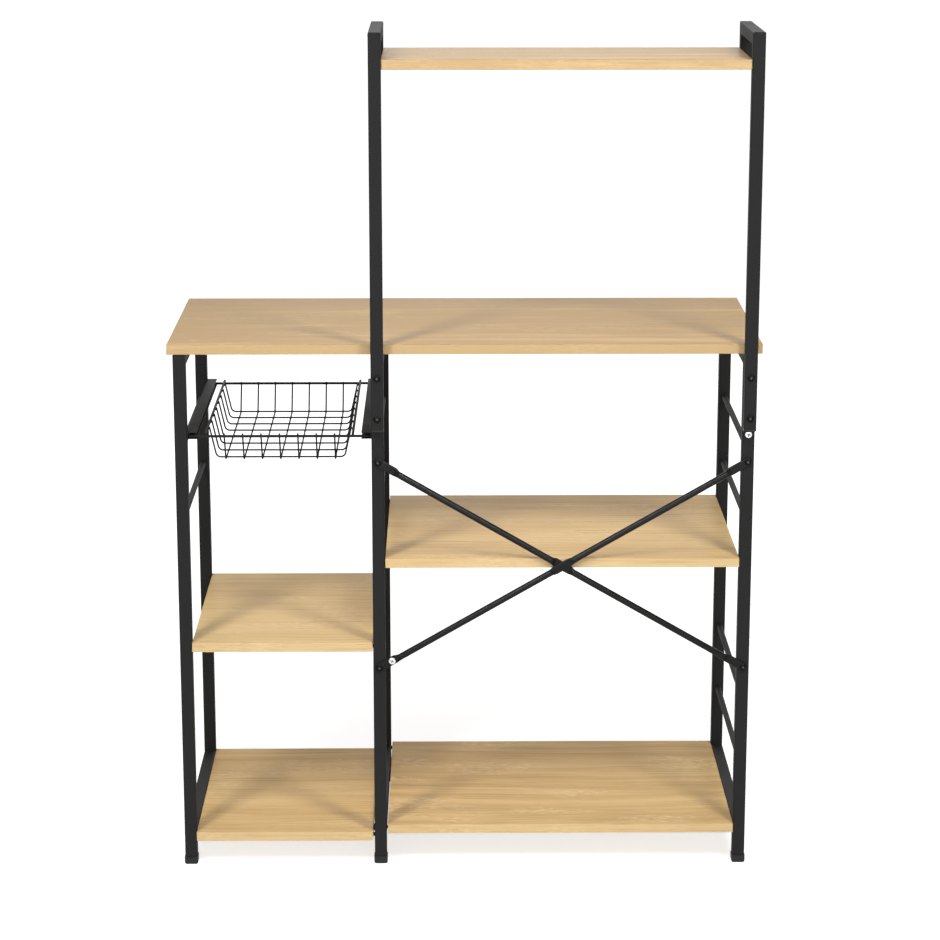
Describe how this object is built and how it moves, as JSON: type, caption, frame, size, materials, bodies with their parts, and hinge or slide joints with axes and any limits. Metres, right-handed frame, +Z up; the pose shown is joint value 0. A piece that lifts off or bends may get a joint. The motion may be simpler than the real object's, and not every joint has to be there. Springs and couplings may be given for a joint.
{
  "type": "kitchen rack",
  "caption": "Free-standing kitchen rack of black square steel tube with oak-look shelves, a raised top shelf, a crossed brace at the back and a wire basket that slides out.",
  "frame": {"origin": "on the floor, under the middle of the rack's bounding box", "axes": "+Z up; -Y is the braced back, which stands against the wall; +Y is the user's side, where the basket slides out; +X runs from the basket bay to the wide bay"},
  "size_m": [0.9, 0.4036, 1.305],
  "materials": {
    "black_steel": "matte black powder coat",
    "oak_board": "light oak laminate, satin",
    "black_plastic": "moulded black plastic",
    "black_bolts": "blackened steel",
    "zinc": "bright zinc plating",
    "basket_wire": "black coated wire"
  },
  "bodies": {
    "rack": {"board_bolts": "black_bolts", "board_inserts": "zinc", "brace_bolts": "black_bolts", "brace_rivet": "black_bolts", "button_board_bolts": "black_bolts", "falling_brace_rod": "black_steel", "lap_bolts": "black_bolts", "left_back_foot_cap": "black_plastic", "left_back_post": "black_steel", "left_basket_channel": "black_steel", "left_bottom_board": "oak_board", "left_bottom_rail": "black_steel", "left_front_foot_cap": "black_plastic", "left_front_post": "black_steel", "left_middle_board": "oak_board", "left_rungs": "black_steel", "left_top_rail": "black_steel", "middle_back_foot_cap": "black_plastic", "middle_back_post": "black_steel", "middle_bottom_rail": "black_steel", "middle_drop_leg": "black_steel", "middle_drop_leg_plug": "black_plastic", "middle_front_foot_cap": "black_plastic", "middle_front_post": "black_steel", "middle_rungs": "black_steel", "middle_tall_post": "black_steel", "middle_tall_post_plug": "black_plastic", "middle_top_bar": "black_steel", "middle_top_rail": "black_steel", "post_nuts": "zinc", "right_back_foot_cap": "black_plastic", "right_back_post": "black_steel", "right_basket_channel": "black_steel", "right_bottom_board": "oak_board", "right_bottom_rail": "black_steel", "right_drop_leg": "black_steel", "right_drop_leg_plug": "black_plastic", "right_front_foot_cap": "black_plastic", "right_front_post": "black_steel", "right_lower_rungs": "black_steel", "right_middle_board": "oak_board", "right_tall_post": "black_steel", "right_tall_post_plug": "black_plastic", "right_top_bar": "black_steel", "right_top_rail": "black_steel", "right_upper_rungs": "black_steel", "rising_brace_rod": "black_steel", "top_shelf": "oak_board", "worktop": "oak_board", "worktop_screws": "zinc", "zinc_nut": "zinc", "zinc_screws": "zinc"},
    "basket": {"basket_back_rim_wire": "basket_wire", "basket_cross_wires": "basket_wire", "basket_front_rim_wire": "basket_wire", "basket_length_wires": "basket_wire", "basket_side_wires": "basket_wire"}
  },
  "joints": [
    {"name": "basket_slide", "type": "slide", "parent": "rack", "child": "basket", "axis": [0, 1, 0], "range_m": [0, 0.25]}
  ]
}
